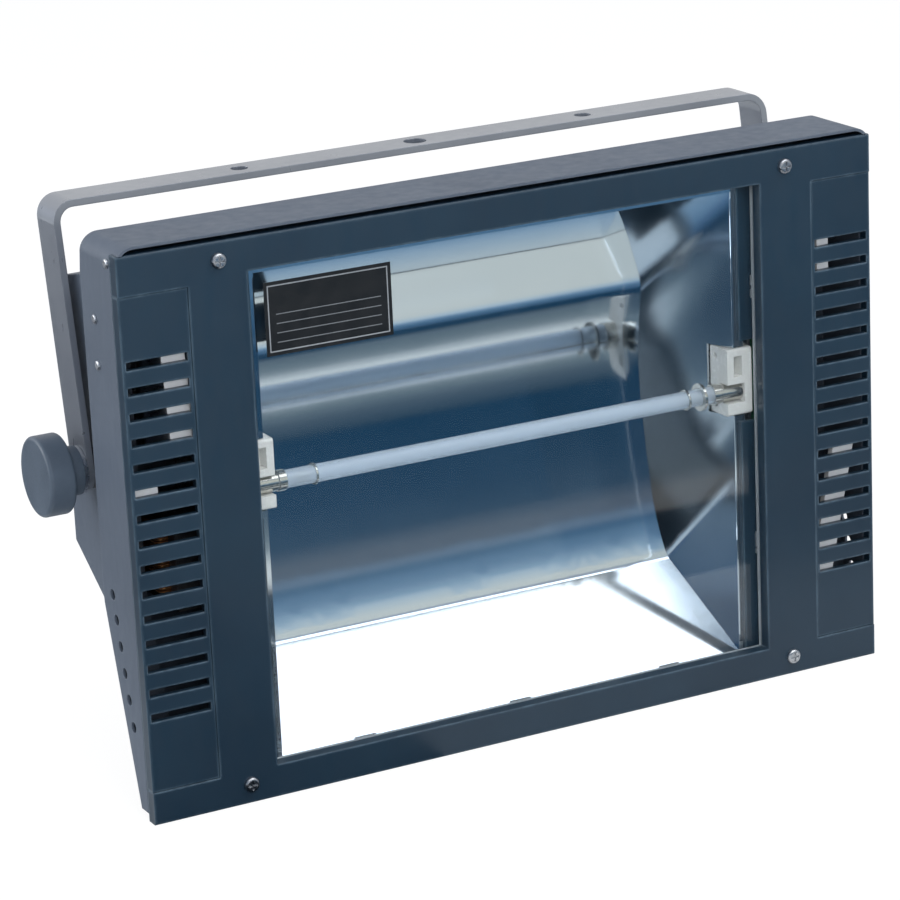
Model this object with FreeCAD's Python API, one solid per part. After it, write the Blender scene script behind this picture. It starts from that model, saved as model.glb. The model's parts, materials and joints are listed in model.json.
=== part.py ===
import FreeCAD, Part
import math
import os

# Xenon stroboscope floodlight that hangs by its yoke. Millimetres, +X right, +Y to the rear, +Z up.
# Everything is first placed with the window's plane at y = 0 and the cover's lower edge at z = 0,
# then moved so that the yoke's clamp hole, on top of the strap, is the origin.

Vector = FreeCAD.Vector

# driving dimensions
sheet = 1.5                 # steel sheet of cover, tray and rear housing
gap = 0.3                   # clearance between neighbouring pieces
cover_width = 425.0
cover_height = 287.0
cover_flange = 7.5          # depth of the folded rim
arc_length = 252.0          # flash tube between its two metal rings
window_width = arc_length + 38.0
window_height = 253.0
window_bottom = 17.0
window_return = 7.0         # depth of the window's folded edge
vent_width = 36.2           # louvred panel at each side
vent_bottom = 17.0
vent_top = cover_height - 20.0
louvre_count = 15
louvre_pitch = 12.7
louvre_first = vent_bottom + 38.5
louvre_height = 4.2
louvre_margin = 2.0
louvre_lip = 2.2            # how far the lip under a slot reaches inwards
louvre_lip_thick = 0.8
vent_sheet = 1.2
vent_recess = 0.5           # panel's face behind the cover's face
cover_screw_out = 15.0      # cover screws outside the window's edge
cover_screw_low = 10.0
cover_screw_high = cover_height - 9.5
m4_hole_r = 2.2
m4_head_r = 3.9
screw_r = 1.9               # shank of an M4 screw

tray_lip = 4.0              # how far the tray's top stands above the cover
tray_top = cover_height + tray_lip
tray_bottom = 4.0
tray_shoulder_in = 3.0      # lean of the rear wall above the shoulder
tray_depth = 45.0
tray_depth_top = tray_depth - tray_shoulder_in
tray_depth_bottom = 16.0
tray_shoulder_z = tray_top - 19.0
tray_waist_z = 104.0
tray_corner_r = 9.0

hump_inset = 13.0           # rear housing sits in from the tray's sides
hump_depth = 110.0
hump_top_z = tray_top - 22.5
hump_heel_z = 94.5
hump_heel_depth = hump_depth - 32.0
hump_foot_depth = 47.0
hump_low_z = 116.0
hump_high_z = tray_top - 41.0
hump_bevel = 7.0            # bevel between the rear housing's back and its roof
hump_roof_drop = 12.5       # fall of the roof from the tray to the bevel
hump_step_up = 4.0          # underside above the tray's underside
hump_border = 9.0           # tray wall that the rear housing laps
hump_floor_border = 5.2     # the same along the underside, where the mirror passes close

glass_thick = 3.5
gasket_lip = 1.0            # rubber over each face of the glass
glass_lap = 5.0             # glass hidden behind the window's edge
lamp_y = 20.0
lamp_z = 157.0
tube_r = 4.6
tube_wall = 1.1
mouth_width = arc_length + 19.0
mouth_bottom = window_bottom - 3.2
mouth_top = window_bottom + window_height - 5.5
mouth_y = 16.0
trough_depth = 69.0
# section of the mirror in shares of its depth and height: flat floor, bend, rising back, deep top corner
trough_shape = [(0.0, 0.0), (0.614, 0.173), (0.636, 0.181), (0.657, 0.195), (0.681, 0.216),
                (0.716, 0.252), (0.748, 0.296), (0.772, 0.344), (0.797, 0.404), (0.82, 0.467),
                (0.838, 0.527), (0.846, 0.575), (0.848, 0.611), (0.842, 0.651), (0.829, 0.695),
                (0.812, 0.739), (0.806, 0.767), (0.816, 0.791), (0.848, 0.822), (0.899, 0.866),
                (0.948, 0.902), (1.0, 0.934), (0.0, 1.0)]
end_slant = 0.385           # how much each end wall leans in per unit of depth
mirror_sheet = 1.0
rim_width = 3.5
rim_low = 1.7               # rim below the mouth, where the tray's floor is near

pivot_y = 79.0
pivot_z = 162.5
strap_width = 22.0
strap_thick = 3.5
washer_space = 3.8          # between the rear housing's cheek and the strap
yoke_top_z = tray_top + 5.0
yoke_slant = 9.5            # degrees that the legs lean to the rear
yoke_bend_r = 11.0
clamp_hole_r = 6.0
side_hole_r = 4.5
side_hole_x = 100.0
stud_r = 5.0                # clamp stud, M10
stud_clearance = 0.08
thread_clearance = 0.08
knob_r = 20.5
knob_length = 21.5            # head and neck
knob_neck_r = 12.5
knob_neck_length = 7.5
washer_r = 10.5
washer_thick = 2.0
boss_r = 9.0

fan_size = 80.0
fan_thick = 15.0
fan_hole_pitch = 71.5
fan_z = 190.0
rotor_r = 37.0
rotor_clearance = 0.6
fan_hub_r = 17.0

rear_panel_inset = 13.5     # in from the rear housing's cheeks
rear_panel_low = hump_low_z + 5.0
rear_panel_high = hump_high_z - 5.0
rear_panel_thick = 1.5
panel_lap = 8.0             # rear panel over the edge of its opening

# places that follow from them
half_cover = cover_width / 2
window_top = window_bottom + window_height
window_mid_z = window_bottom + window_height / 2
mouth_high = mouth_top - mouth_bottom
hump_half = half_cover - hump_inset
yoke_half = hump_half + washer_space + strap_thick
rear_panel_width = 2 * (hump_half - rear_panel_inset)
cover_screw_x = window_width / 2 + cover_screw_out
hump_bottom = tray_bottom + hump_step_up
tray_slope = (tray_depth - tray_depth_bottom) / (tray_waist_z - tray_bottom)
hump_toe_depth = tray_depth_bottom + hump_step_up * tray_slope
hump_bevel_y = hump_depth - hump_bevel
hump_bevel_z = hump_top_z - hump_roof_drop
slope = math.tan(math.radians(yoke_slant))
yoke_y = pivot_y + (yoke_top_z - pivot_z) * slope
origin_shift = Vector(0, -yoke_y, -yoke_top_z)
glass_y = window_return + gap + gasket_lip
rear_y = hump_depth                     # outer face of the rear housing's back
panel_back = rear_y + rear_panel_thick

os.makedirs("parts", exist_ok=True)


# helpers
def box(x0, x1, y0, y1, z0, z1):
    return Part.makeBox(x1 - x0, y1 - y0, z1 - z0, Vector(x0, y0, z0))


def rod(radius, x, y, z, length, axis):
    direction = {"x": Vector(1, 0, 0), "y": Vector(0, 1, 0), "z": Vector(0, 0, 1)}[axis]
    return Part.makeCylinder(radius, length, Vector(x, y, z), direction)


def ring(outer, inner, x, y, z, length, axis):
    return rod(outer, x, y, z, length, axis).cut(rod(inner, x, y, z, length, axis))


def profile_x(points, x0, x1):
    """A closed outline in y and z, drawn out along x."""
    corners = [Vector(x0, y, z) for y, z in points]
    face = Part.Face(Part.makePolygon(corners + [corners[0]]))
    return face.extrude(Vector(x1 - x0, 0, 0))


def profile_y(points, y0, y1):
    """A closed outline in x and z, drawn out along y."""
    corners = [Vector(x, y0, z) for x, z in points]
    face = Part.Face(Part.makePolygon(corners + [corners[0]]))
    return face.extrude(Vector(0, y1 - y0, 0))


def profile_z(points, z0, z1):
    """A closed outline in x and y, drawn out along z."""
    corners = [Vector(x, y, z0) for x, y in points]
    face = Part.Face(Part.makePolygon(corners + [corners[0]]))
    return face.extrude(Vector(0, 0, z1 - z0))


def inset(points, distances):
    """The outline with each side moved inwards by its own distance; corners stay sharp."""
    count = len(points)
    lines = []
    for i in range(count):
        (y0, z0), (y1, z1) = points[i], points[(i + 1) % count]
        length = math.hypot(y1 - y0, z1 - z0)
        ny, nz = -(z1 - z0) / length, (y1 - y0) / length
        lines.append((ny, nz, ny * y0 + nz * z0 + distances[i]))
    result = []
    for i in range(count):
        a, b = lines[i - 1], lines[i]
        det = a[0] * b[1] - b[0] * a[1]
        result.append(((a[2] * b[1] - b[2] * a[1]) / det, (a[0] * b[2] - b[0] * a[2]) / det))
    return result


def joined(shapes):
    result = shapes[0]
    for shape in shapes[1:]:
        result = result.fuse(shape)
    return result.removeSplitter()


def mirrored(shape):
    return shape.mirror(Vector(0, 0, 0), Vector(1, 0, 0))


def both_sides(shape):
    return Part.makeCompound([shape, mirrored(shape)])


def write(name, shape):
    placed = shape.copy()
    placed.translate(origin_shift)
    placed.exportStep("parts/" + name + ".step")
    print(name, len(placed.Solids), round(placed.Volume / 1000, 2), "cm3", placed.isValid())


def pan_screw(head_r, shank_r, x, y, z, shank, facing=-1):
    """A pan-head screw along y; facing -1 puts its head towards the front of y."""
    head_high = head_r * 0.62
    head = Part.makeCylinder(head_r, head_high, Vector(x, y, z), Vector(0, facing, 0))
    rims = [e for e in head.Edges if len(e.Vertexes) == 1 and abs(e.CenterOfMass.y - y) > head_high / 2]
    head = head.makeFillet(head_high * 0.6, rims)
    slot = head_r * 1.3
    top = y + facing * head_high
    recess_depth = head_high * 0.45
    y0, y1 = sorted((top, top - facing * recess_depth))
    head = head.cut(box(x - slot / 2, x + slot / 2, y0, y1, z - 0.5, z + 0.5))
    head = head.cut(box(x - 0.5, x + 0.5, y0, y1, z - slot / 2, z + slot / 2))
    stem = Part.makeCylinder(shank_r, shank, Vector(x, y, z), Vector(0, -facing, 0))
    return head.fuse(stem)


def round_edges(shape, radius, keep):
    edges = [e for e in shape.Edges if keep(e)]
    return shape.makeFillet(radius, edges)


def along(edge, axis):
    """True when a straight edge runs along the named axis."""
    if len(edge.Vertexes) != 2 or not isinstance(edge.Curve, (Part.Line, Part.LineSegment)):
        return False
    d = edge.Vertexes[1].Point - edge.Vertexes[0].Point
    parts = {"x": abs(d.x), "y": abs(d.y), "z": abs(d.z)}
    return parts[axis] > 0.999 * d.Length


# front cover, vent panels, screws
def front_cover():
    plate = box(-half_cover, half_cover, 0, cover_flange, 0, cover_height)
    plate = plate.cut(box(-half_cover + sheet, half_cover - sheet, sheet, cover_flange,
                          sheet, cover_height - sheet))
    seam_x = half_cover - vent_width
    for side in (-1, 1):
        x0, x1 = sorted((side * seam_x, side * (half_cover + 1)))
        plate = plate.cut(box(x0, x1, -1, cover_flange + 1, vent_bottom, vent_top))
        ledge = sorted((side * (seam_x - sheet), side * (seam_x + 0.8)))
        fold = box(ledge[0], ledge[1], sheet, cover_flange, vent_bottom - sheet, vent_top + sheet)
        seam = sorted((side * seam_x, side * (seam_x + 2)))
        fold = fold.cut(box(*seam, 0, sheet + 1.0, vent_bottom, vent_top))
        plate = plate.fuse(fold)
        for z0, z1 in ((vent_bottom - sheet, vent_bottom), (vent_top, vent_top + sheet)):
            x0, x1 = sorted((side * seam_x, side * (half_cover - sheet)))
            plate = plate.fuse(box(x0, x1, sheet, cover_flange, z0, z1))
    frame = box(-window_width / 2 - sheet, window_width / 2 + sheet, 0, window_return,
                window_bottom - sheet, window_top + sheet)
    plate = plate.fuse(frame)
    plate = plate.cut(box(-window_width / 2, window_width / 2, -1, window_return + 1,
                          window_bottom, window_top))
    for x in (-cover_screw_x, cover_screw_x):
        for z in (cover_screw_low, cover_screw_high):
            plate = plate.cut(rod(m4_hole_r, x, -1, z, 4, "y"))
    plate = plate.removeSplitter()

    def outer_rim(e):
        c = e.CenterOfMass
        on_front = abs(c.y) < 0.01
        at_end = abs(c.z - cover_height) < 0.01 or abs(c.z) < 0.01
        return on_front and at_end
    return round_edges(plate, 1.0, outer_rim)


def vent_panel():
    """Slotted panel of the right side: front face, folded edges, a lip under each slot."""
    inner = half_cover - vent_width + gap / 2
    z0 = vent_bottom + gap / 2
    z1 = vent_top - gap / 2
    back = vent_recess + vent_sheet
    panel = box(inner, half_cover, vent_recess, cover_flange, z0, z1)
    panel = panel.cut(box(inner + vent_sheet, half_cover - vent_sheet, back, cover_flange, z0 - 1, z1 + 1))
    panel = panel.fuse(box(inner, half_cover, vent_recess, cover_flange, z0, z0 + vent_sheet))
    panel = panel.fuse(box(inner, half_cover, vent_recess, cover_flange, z1 - vent_sheet, z1))
    panel = panel.cut(box(inner - 1, inner + vent_sheet, back + 0.8, cover_flange + 1, z0 - 1, z1 + 1))
    left = inner + louvre_margin
    right = half_cover - louvre_margin
    for i in range(louvre_count):
        low = louvre_first + i * louvre_pitch - louvre_height / 2
        panel = panel.cut(box(left, right, 0, back + 0.5, low, low + louvre_height))
        panel = panel.fuse(box(left, right, back - 0.1, back + louvre_lip, low - louvre_lip_thick, low))
    return panel.removeSplitter()


cover = front_cover()
write("front_cover", cover)
vent_right = vent_panel()
write("vent_panel_right", vent_right)
write("vent_panel_left", mirrored(vent_right))
cover_screws = [pan_screw(m4_head_r, screw_r, x, 0.0, z, 13.0)
                for x in (-cover_screw_x, cover_screw_x) for z in (cover_screw_low, cover_screw_high)]
write("cover_screws", Part.makeCompound(cover_screws))

# housing tray
tray_front = cover_flange + gap


def tray_outline(wall):
    """Side profile of the tray in y and z; a hollow's front runs on past the cover."""
    outline = [(0, tray_bottom), (tray_depth_bottom, tray_bottom), (tray_depth, tray_waist_z),
               (tray_depth, tray_shoulder_z), (tray_depth_top, tray_top), (0, tray_top)]
    return inset(outline, [wall] * 5 + [-5.0 if wall else 0.0])


def tray_block(wall):
    half = half_cover - wall
    block = profile_x(tray_outline(wall), -half, half)
    top = tray_top - wall
    edges = [e for e in block.Edges if along(e, "y") and e.CenterOfMass.z > top - 0.1]
    return block.makeFillet(tray_corner_r - wall, edges)


vent_hole_r = 2.8
vent_holes = [(33.7, 110.6), (31.0, 98.1), (28.3, 85.1), (25.4, 72.0), (22.2, 59.0), (18.9, 45.7)]
rivet_places = [(11.0, tray_top - 9), (30.0, tray_top - 40), (30.0, tray_top - 63)]
rivet_r = 2.4


def hump_outline(wall):
    """Side profile of the rear housing in y and z, its front on the tray's rear wall."""
    outline = [(hump_toe_depth, hump_bottom), (hump_foot_depth, hump_bottom), (hump_heel_depth, hump_heel_z),
               (hump_depth, hump_low_z), (hump_depth, hump_high_z), (hump_bevel_y, hump_bevel_z),
               (tray_depth, hump_top_z), (tray_depth, tray_waist_z)]
    return inset(outline, [min(wall, hump_floor_border)] + [wall] * 5 + [-20.0 if wall else 0.0] * 2)


def tray_shell():
    shell = tray_block(0).cut(tray_block(sheet))
    shell = shell.cut(box(-half_cover - 1, half_cover + 1, -1, tray_front, -1, tray_top - tray_lip))
    throat = profile_x(hump_outline(hump_border), -hump_half + hump_border, hump_half - hump_border)
    shell = shell.cut(throat)
    for y, z in vent_holes:
        shell = shell.cut(rod(vent_hole_r, -half_cover - 1, y, z, cover_width + 2, "x"))
    for y, z in rivet_places:
        shell = shell.cut(rod(rivet_r - 0.4, -half_cover - 1, y, z, cover_width + 2, "x"))
    return shell.removeSplitter()


tray = tray_shell()


def side_rivet(y, z):
    """Blind rivet in the right side: domed head outside, short tail inside."""
    head = Part.makeCylinder(rivet_r, 1.1, Vector(half_cover, y, z), Vector(1, 0, 0))
    outer = [e for e in head.Edges if len(e.Vertexes) == 1 and e.CenterOfMass.x > half_cover + 0.5]
    head = head.makeFillet(0.8, outer)
    tail = Part.makeCylinder(rivet_r - 0.45, sheet + 2.5, Vector(half_cover, y, z), Vector(-1, 0, 0))
    return head.fuse(tail)


# rear housing
def hump_shell():
    outer = profile_x(hump_outline(0), -hump_half, hump_half)
    inner = profile_x(hump_outline(sheet), -hump_half + sheet, hump_half - sheet)
    shell = outer.cut(inner)
    rim = outer.cut(profile_x(hump_outline(hump_border), -hump_half + hump_border, hump_half - hump_border))
    tray_space = [(-20, tray_bottom - 20), (tray_depth_bottom - 20 * tray_slope, tray_bottom - 20),
                  (tray_depth, tray_waist_z), (tray_depth, 400), (-20, 400)]
    behind_tray = inset(tray_space, [0, -gap, -gap, 0, 0])
    behind_rim = inset(tray_space, [0, -gap - sheet, -gap - sheet, 0, 0])
    shell = shell.fuse(rim.common(profile_x(behind_rim, -300, 300)))
    shell = shell.cut(profile_x(behind_tray, -300, 300))
    opening = box(-rear_panel_width / 2 + panel_lap, rear_panel_width / 2 - panel_lap, hump_depth - 10,
                  hump_depth + 10, rear_panel_low + panel_lap, rear_panel_high - panel_lap)
    shell = shell.cut(opening)
    hole = stud_r + 1.0
    shell = shell.cut(rod(hole, -300, pivot_y, pivot_z, 600, "x"))
    for i in range(7):
        z = 24.0 + i * 9.0
        shell = shell.cut(box(-90, -30, 20, 120, z, z + 3.2)).cut(box(30, 90, 20, 120, z, z + 3.2))
    return shell.removeSplitter()


hump = hump_shell()
# window glass, gasket, clips, label
glass_half = window_width / 2 + glass_lap
glass_low = window_bottom - glass_lap
glass_high = window_top + glass_lap
glass_back = glass_y + glass_thick
write("window_glass", box(-glass_half, glass_half, glass_y, glass_back, glass_low, glass_high))

rubber = 1.2
slack = 0.05
gasket_front = glass_y - gasket_lip
gasket_back = glass_back + gasket_lip
gasket = box(-glass_half - rubber, glass_half + rubber, gasket_front, gasket_back,
             glass_low - rubber, glass_high + rubber)
gasket = gasket.cut(box(-glass_half - slack, glass_half + slack, glass_y - slack, glass_back + slack,
                        glass_low - slack, glass_high + slack))
gasket = gasket.cut(box(-window_width / 2 - 1, window_width / 2 + 1, 0, 30,
                        window_bottom - 1, window_top + 1))
write("glass_gasket", gasket)

clip_thick = 1.0
clip_half = 6.0
clip_foot = 7.5
clip_reach = 6.0


def glass_clip(low, high):
    """Clip on the inside of the cover: foot, riser and tongue in a profile running outwards."""
    foot = [(low, sheet), (high, sheet), (high, sheet + clip_thick), (low + clip_thick, sheet + clip_thick),
            (low + clip_thick, gasket_back + clip_thick), (low - clip_reach, gasket_back + clip_thick),
            (low - clip_reach, gasket_back), (low, gasket_back)]
    return foot


def clip_upright(x, flip):
    edge = glass_high + rubber + gap
    corners = [Vector(x - clip_half, y, z) for z, y in glass_clip(edge, edge + clip_foot)]
    face = Part.Face(Part.makePolygon(corners + [corners[0]]))
    clip = face.extrude(Vector(2 * clip_half, 0, 0))
    if flip:
        clip = clip.mirror(Vector(0, 0, window_mid_z), Vector(0, 0, 1))
    return clip


def clip_side(z, flip):
    edge = glass_half + rubber + gap
    clip = profile_z(glass_clip(edge, edge + clip_foot + 4), z - clip_half, z + clip_half)
    return mirrored(clip) if flip else clip


clip_spread = window_width / 2 - 55
clips = [clip_upright(x, flip) for x in (-clip_spread, 0, clip_spread) for flip in (False, True)]
clips += [clip_side(z, flip) for z in (window_mid_z - 70, window_mid_z + 70) for flip in (False, True)]
write("glass_clips", Part.makeCompound(clips))

label_thick = 0.2
label_x = -window_width / 2 + 11.5
label_z = window_top - 46.5
write("glass_label", box(label_x, label_x + 69, glass_y - label_thick, glass_y, label_z, label_z + 37))

# chassis plate and posts
plate_front = 14.1
plate_back = plate_front + sheet
plate_half = window_width / 2 + 27.0
plate_low = 8.6
mouth_half = mouth_width / 2
holder_low = lamp_z - 12.0
holder_high = lamp_z + 24.0
holder_in = arc_length / 2 + 5.0
holder_out = holder_in + 15.0
holder_front = 14.2
holder_back = 31.0
notch = 4.0                     # free space round each lamp holder
post_r = 3.4
plate_opening = mouth_half + rim_width - 0.3


def chassis_plate():
    plate = box(-plate_half, plate_half, plate_front, plate_back, plate_low, tray_top - sheet)
    inner = tray_top - sheet
    fold = window_width / 2 + 5
    plate = plate.fuse(box(-fold, fold, plate_back, plate_back + 16, inner - sheet, inner))
    plate = plate.fuse(box(-fold, fold, tray_front + 1.2, plate_front + 0.5,
                           tray_bottom + sheet, plate_low + 0.1))
    plate = plate.cut(box(-plate_opening, plate_opening, 0, 20,
                          mouth_bottom - rim_low + 0.3, mouth_top + rim_width - 0.3))
    plate = plate.cut(box(-holder_out - notch, holder_out + notch, 0, 20,
                          holder_low - notch, holder_high + notch))
    return plate.removeSplitter()


write("chassis_plate", chassis_plate())

posts = []
for x in (-cover_screw_x, cover_screw_x):
    for z in (cover_screw_low, cover_screw_high):
        post = rod(post_r, x, sheet, z, plate_front - sheet, "y")
        posts.append(post.cut(rod(screw_r + slack, x, 0, z, 20, "y")))
write("cover_posts", Part.makeCompound(posts))

# reflector
vertex_y = mouth_y + trough_depth
flange_out = 3.0                # mouth flange hidden behind the chassis plate
flange_out_low = 0.5
flange_half = mouth_half + rim_width + flange_out
flange_low = mouth_bottom - rim_low - flange_out_low
flange_high = mouth_top + rim_width + flange_out


def trough_section(offset, x):
    """Edges of the trough's section, moved squarely off the mirror into its room by the offset."""
    corners = [(mouth_y + deep * trough_depth, mouth_bottom + high * mouth_high)
               for deep, high in trough_shape]
    moved = inset(corners, [offset] * (len(corners) - 1) + [0.0])
    points = [Vector(x, y, z) for y, z in moved]
    back = Part.BSplineCurve()
    back.interpolate(points[1:-1])
    floor = Part.makeLine(points[0], points[1])
    roof = Part.makeLine(points[-2], points[-1])
    return [floor, back.toShape(), roof], points


def closed_face(edges):
    return Part.Face(Part.Wire(Part.__sortEdges__(edges)))


def trough_face(x):
    inner, inner_points = trough_section(0, x)
    outer, outer_points = trough_section(-mirror_sheet, x)
    ends = [Part.makeLine(inner_points[i], outer_points[i]) for i in (0, -1)]
    return closed_face(inner + outer + ends)


def hollow(x0, x1):
    """The room inside the trough, a hair smaller than its mirror."""
    edges, points = trough_section(slack, x0)
    mouth = Part.makeLine(points[-1], points[0])
    return closed_face(edges + [mouth]).extrude(Vector(x1 - x0, 0, 0))


trough = trough_face(-mouth_half - 0.5).extrude(Vector(mouth_width + 1, 0, 0))
lip_y0 = plate_back
lip_y1 = plate_back + mirror_sheet
trough_high = box(-mouth_half - 0.5, mouth_half + 0.5, lip_y0, lip_y1, mouth_top + 0.2, flange_high)
trough_low = box(-mouth_half - 0.5, mouth_half + 0.5, lip_y0, lip_y1, flange_low, mouth_bottom - 0.2)
trough = joined([trough, trough_high, trough_low])
write("reflector_trough", trough)


def end_wall():
    """Slanted mirror that closes the right end, with a slot for the lamp holder."""
    deep = vertex_y + 4
    lean = end_slant * (deep - mouth_y)
    slab = profile_z([(mouth_half, mouth_y), (mouth_half + mirror_sheet, mouth_y),
                      (mouth_half + mirror_sheet - lean, deep), (mouth_half - lean, deep)], 0, 300)
    wall = slab.common(hollow(0, 200))
    side = box(mouth_half + 0.6, flange_half, lip_y0, lip_y1, flange_low, flange_high)
    fold = box(mouth_half + 0.05, mouth_half + 0.7, lip_y0, mouth_y + 1.5, mouth_bottom + 3, mouth_top - 3)
    wall = joined([wall, side, fold])
    slot = box(mouth_half - 25, flange_half + 1, 0, holder_back + 0.5, holder_low - 0.5, holder_high + 0.5)
    return wall.cut(slot).removeSplitter()


write("reflector_ends", both_sides(end_wall()))

# flash tube
tube_half = arc_length / 2 + 5.0
seal = 4.0
lead_r = 0.6
bore = tube_r - tube_wall
tube = rod(tube_r, -tube_half, lamp_y, lamp_z, 2 * tube_half, "x")
tube = tube.cut(rod(bore, -tube_half + seal, lamp_y, lamp_z, 2 * (tube_half - seal), "x"))
tube = tube.cut(rod(lead_r + slack, -tube_half - 1, lamp_y, lamp_z, 2 * tube_half + 2, "x"))
write("flash_tube", tube)

ring_half = arc_length / 2
band = ring(tube_r + 0.8, tube_r + slack, ring_half - 2, lamp_y, lamp_z, 4, "x")
write("tube_rings", both_sides(band))
electrode = joined([rod(lead_r, ring_half - 10, lamp_y, lamp_z, 20, "x"),
                    rod(2.3, ring_half - 16, lamp_y, lamp_z, 6.5, "x")])
write("tube_electrodes", both_sides(electrode))
cap_start = ring_half + 2.5
cap_r = tube_r + 0.4
end_cap = rod(cap_r, cap_start, lamp_y, lamp_z, 12.5, "x")
cap_depth = tube_half + 0.2 - cap_start
end_cap = end_cap.cut(rod(tube_r + slack, cap_start - 1, lamp_y, lamp_z, cap_depth + 1, "x"))
end_cap = end_cap.cut(rod(lead_r + slack, cap_start, lamp_y, lamp_z, 9, "x"))
write("tube_end_caps", both_sides(end_cap))

wire_r = 0.45
wire_at = tube_r + wire_r + slack
wire_step = 1.8
wire_end = ring_half - 8.5
wire = [rod(wire_r, -wire_end, lamp_y + wire_at, lamp_z, 2 * wire_end, "x"),
        ring(tube_r + wire_step + 1.0, tube_r + slack, wire_end - 1.0, lamp_y, lamp_z, 1.5, "x"),
        rod(wire_r, wire_end - 0.5, lamp_y + wire_at + wire_step, lamp_z, holder_in - wire_end, "x")]
wire_loops = 2                  # one near each end of the tube
for i in range(wire_loops):
    x = (i / (wire_loops - 1) * 2 - 1) * (wire_end - 9.5)
    wire.append(ring(tube_r + 0.95, tube_r + slack, x, lamp_y, lamp_z, 0.9, "x"))
write("trigger_wire", joined(wire))


def lamp_holder():
    """Ceramic block of the right side; the lamp's cap drops in from the front."""
    block = box(holder_in, holder_out, holder_front, holder_back, holder_low, holder_high)
    block = round_edges(block, 1.5, lambda e: along(e, "x"))
    seat = cap_r + 0.08
    block = block.cut(rod(seat, holder_in - 1, lamp_y, lamp_z, 11.5, "x"))
    block = block.cut(box(holder_in - 1, holder_in + 10.5, 10, lamp_y, lamp_z - seat, lamp_z + seat))
    block = block.cut(box(holder_in + 4, holder_in + 9, 10, 22, lamp_z + 9, lamp_z + 20))
    for z in (holder_low + 5, holder_high - 5):
        block = block.cut(rod(1.7, holder_in - 1, holder_back - 5, z, 20, "x"))
    return block


write("lamp_holders", both_sides(lamp_holder()))

bracket_out = holder_out + sheet
plate_in = mouth_half + 8.1      # side chassis plate
plate_out = plate_in + sheet


def holder_bracket():
    plate = box(holder_out, bracket_out, 18.0, 38.0, holder_low - 7, holder_high + 7)
    step = box(plate_out, bracket_out, 36.5, 38.0, holder_low - 7, holder_high + 7)
    foot = box(plate_out, plate_out + sheet, 36.5, 52.0, holder_low - 7, holder_high + 7)
    screws = [rod(1.65, holder_out - 10, holder_back - 5, z, 12, "x")
              for z in (holder_low + 5, holder_high - 5)]
    heads = [rod(2.8, bracket_out, holder_back - 5, z, 1.8, "x") for z in (holder_low + 5, holder_high - 5)]
    return joined([plate, step, foot] + screws + heads)


write("holder_brackets", both_sides(holder_bracket()))

# side chassis plates
def side_chassis():
    outline = [(plate_back, 28), (46, 28), (hump_heel_depth - 7, hump_heel_z + 3.5),
               (hump_depth - 7, hump_low_z + 5), (hump_depth - 7, hump_high_z - 7),
               (hump_bevel_y - 5, hump_bevel_z - 8), (tray_depth - 2.5, hump_top_z - 13.5),
               (tray_depth - 2.5, hump_top_z - 7.5), (plate_back, hump_top_z - 7.5)]
    plate = profile_x(outline, plate_in, plate_out)
    plate = plate.fuse(box(plate_out - 0.1, plate_half - 12, plate_back, plate_back + sheet,
                           30, hump_top_z - 10.5))
    plate = plate.cut(box(plate_in - 3, plate_half, 10, holder_back + notch,
                          holder_low - notch, holder_high + notch))
    for z in (200, 220):
        plate = plate.cut(rod(3, plate_in - 3, 60, z, 10, "x"))
    return plate.removeSplitter()


write("side_chassis", both_sides(side_chassis()))

# left bay: capacitors and choke
cap_body_r = 17.5
cap_body_x = -(plate_out + cap_body_r + 6.9)
cap_low = pivot_z + 13.5
cap_high = cap_low + 64.0
cap_places = (41.0, 80.5)
clamp_wall = 0.8
cans = []
clamps = []
for y in cap_places:
    can = rod(cap_body_r, cap_body_x, y, cap_low, cap_high - cap_low, "z")
    can = round_edges(can, 1.5, lambda e: len(e.Vertexes) == 1)
    for x in (-5, 5):
        can = can.fuse(rod(2.4, cap_body_x + x, y, cap_high - 0.1, 5, "z"))
    cans.append(can)
    strap = rod(cap_body_r + slack + clamp_wall, cap_body_x, y, cap_low + 24, 12, "z")
    strap = strap.fuse(box(cap_body_x, -plate_out, y - 9, y + 9, cap_low + 24, cap_low + 36))
    clamps.append(strap.cut(rod(cap_body_r + slack, cap_body_x, y, cap_low, 80, "z")))
write("capacitors", Part.makeCompound(cans))
write("capacitor_clamps", Part.makeCompound(clamps))

core_thick = 26.0
core_y = 24.0
core_wide = 46.0
core_z = hump_heel_z + 3.5
core_high = 48.0
core_limb = 8.0
core_window = 9.0
core_x0 = -(plate_out + 10.9 + core_thick)
core_x1 = core_x0 + core_thick
wind_over = 6.0                 # winding stands out past the laminations
wind_gap = 0.2
wind_z = core_z + core_limb
wind_high = core_high - 2 * core_limb
core = box(core_x0, core_x1, core_y, core_y + core_wide, core_z, core_z + core_high)
for y in (core_y + core_limb, core_y + core_wide - core_limb - core_window):
    core = core.cut(box(core_x0 - 1, core_x1 + 1, y, y + core_window, wind_z, wind_z + wind_high))
write("choke_core", core)
coil = box(core_x0 - wind_over, core_x1 + wind_over, core_y + core_limb + wind_gap,
           core_y + core_wide - core_limb - wind_gap,
           wind_z + 2 * wind_gap, wind_z + wind_high - 2 * wind_gap)
coil = round_edges(coil, 3.0, lambda e: along(e, "z"))
limb_y = core_y + core_limb + core_window
coil = coil.cut(box(core_x0 - wind_gap, core_x1 + wind_gap, limb_y - wind_gap,
                    core_y + core_wide - core_limb - core_window + wind_gap, core_z, core_z + core_high))
write("choke_coil", coil)
tab_z = core_z + 2
tab_high = 36.0
tabs = [box(core_x1, -plate_out, y, y + 6, tab_z, tab_z + tab_high)
        for y in (core_y + 0.5, core_y + core_wide - 6.5)]
back_plate = box(-plate_out - sheet, -plate_out, core_y - 2, core_y + core_wide, tab_z, tab_z + tab_high)
write("choke_bracket", joined([back_plate] + tabs))

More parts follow.
